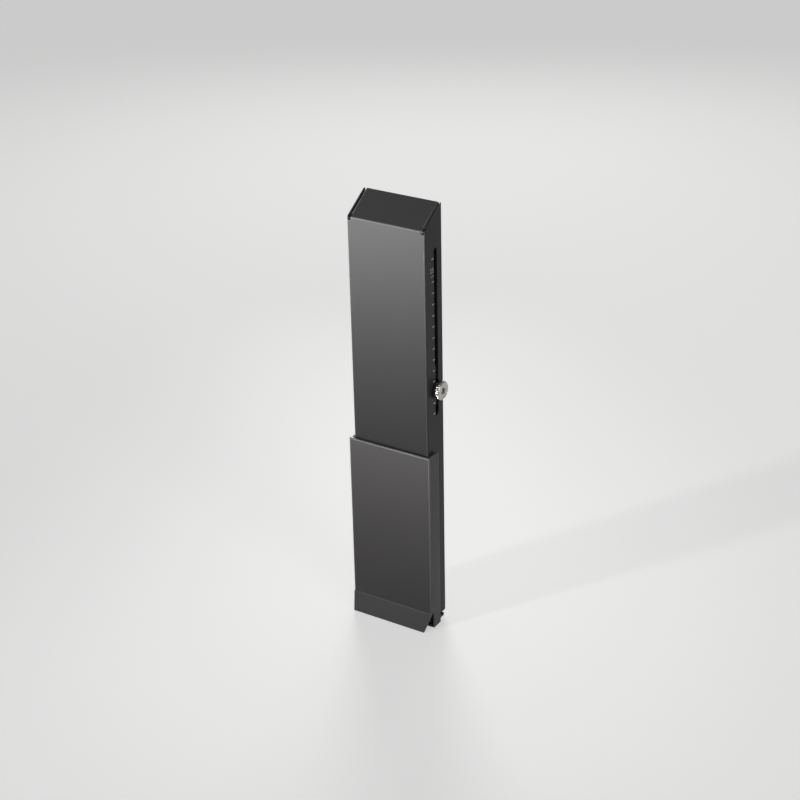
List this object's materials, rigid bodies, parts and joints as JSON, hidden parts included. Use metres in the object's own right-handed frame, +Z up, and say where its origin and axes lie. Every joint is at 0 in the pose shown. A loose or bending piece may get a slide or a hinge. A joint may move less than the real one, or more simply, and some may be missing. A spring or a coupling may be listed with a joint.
{
  "type": "graphics card support bracket",
  "caption": "Free-standing folded-steel support for a graphics card: a column with a sloping top slides in a floor sleeve and carries a padded arm clamped by a thumbscrew.",
  "frame": {"origin": "on the floor under the middle of the column's section", "axes": "+X to the slotted side with the thumbscrew, +Y from the plain front to the back where the card lies, +Z up"},
  "size_m": [0.0631, 0.0552, 0.2933],
  "materials": {
    "grey_coat": "satin powder coat",
    "black_coat": "matte powder coat",
    "nickel": "bright nickel plate",
    "zinc": "zinc plate",
    "rubber": "matte"
  },
  "bodies": {
    "base": {"base_sleeve": "grey_coat", "base_bracket": "black_coat", "base_rivets": "zinc", "base_pad": "rubber", "lock_nut": "zinc"},
    "column": {"column": "grey_coat"},
    "arm": {"arm_carriage": "black_coat", "carriage_nut": "zinc", "support_arm": "black_coat", "arm_screws": "zinc", "arm_pad": "rubber"},
    "clamp_washer": {"clamp_washer": "zinc"},
    "clamp_screw": {"clamp_thumbscrew": "nickel"},
    "lock_washer": {"lock_washer": "zinc"},
    "lock_screw": {"lock_thumbscrew": "nickel"}
  },
  "joints": [
    {"name": "column_slide", "type": "slide", "parent": "base", "child": "column", "axis": [0, 0, 1], "range_m": [0, 0.06]},
    {"name": "arm_slide", "type": "slide", "parent": "column", "child": "arm", "axis": [0, 0, 1], "range_m": [-0.016, 0.0932]},
    {"name": "clamp_draw", "type": "slide", "parent": "arm", "child": "clamp_washer", "axis": [1, 0, 0], "range_m": [0, 0.0016]},
    {"name": "clamp_turn", "type": "hinge", "parent": "clamp_washer", "child": "clamp_screw", "pos_m": [0.0285, 0.002, 0.1713], "axis": [1, 0, 0], "range_deg": [0, 720]},
    {"name": "lock_draw", "type": "slide", "parent": "base", "child": "lock_washer", "axis": [0, 1, 0], "range_m": [0, 0.0016]},
    {"name": "lock_turn", "type": "hinge", "parent": "lock_washer", "child": "lock_screw", "pos_m": [0, 0.01075, 0.08], "axis": [0, 1, 0], "range_deg": [0, 720]}
  ],
  "couplings": [
    {"joint": "clamp_draw", "follows": "clamp_turn", "m_per_rad": 0.00012633},
    {"joint": "lock_draw", "follows": "lock_turn", "m_per_rad": 0.00012633}
  ]
}
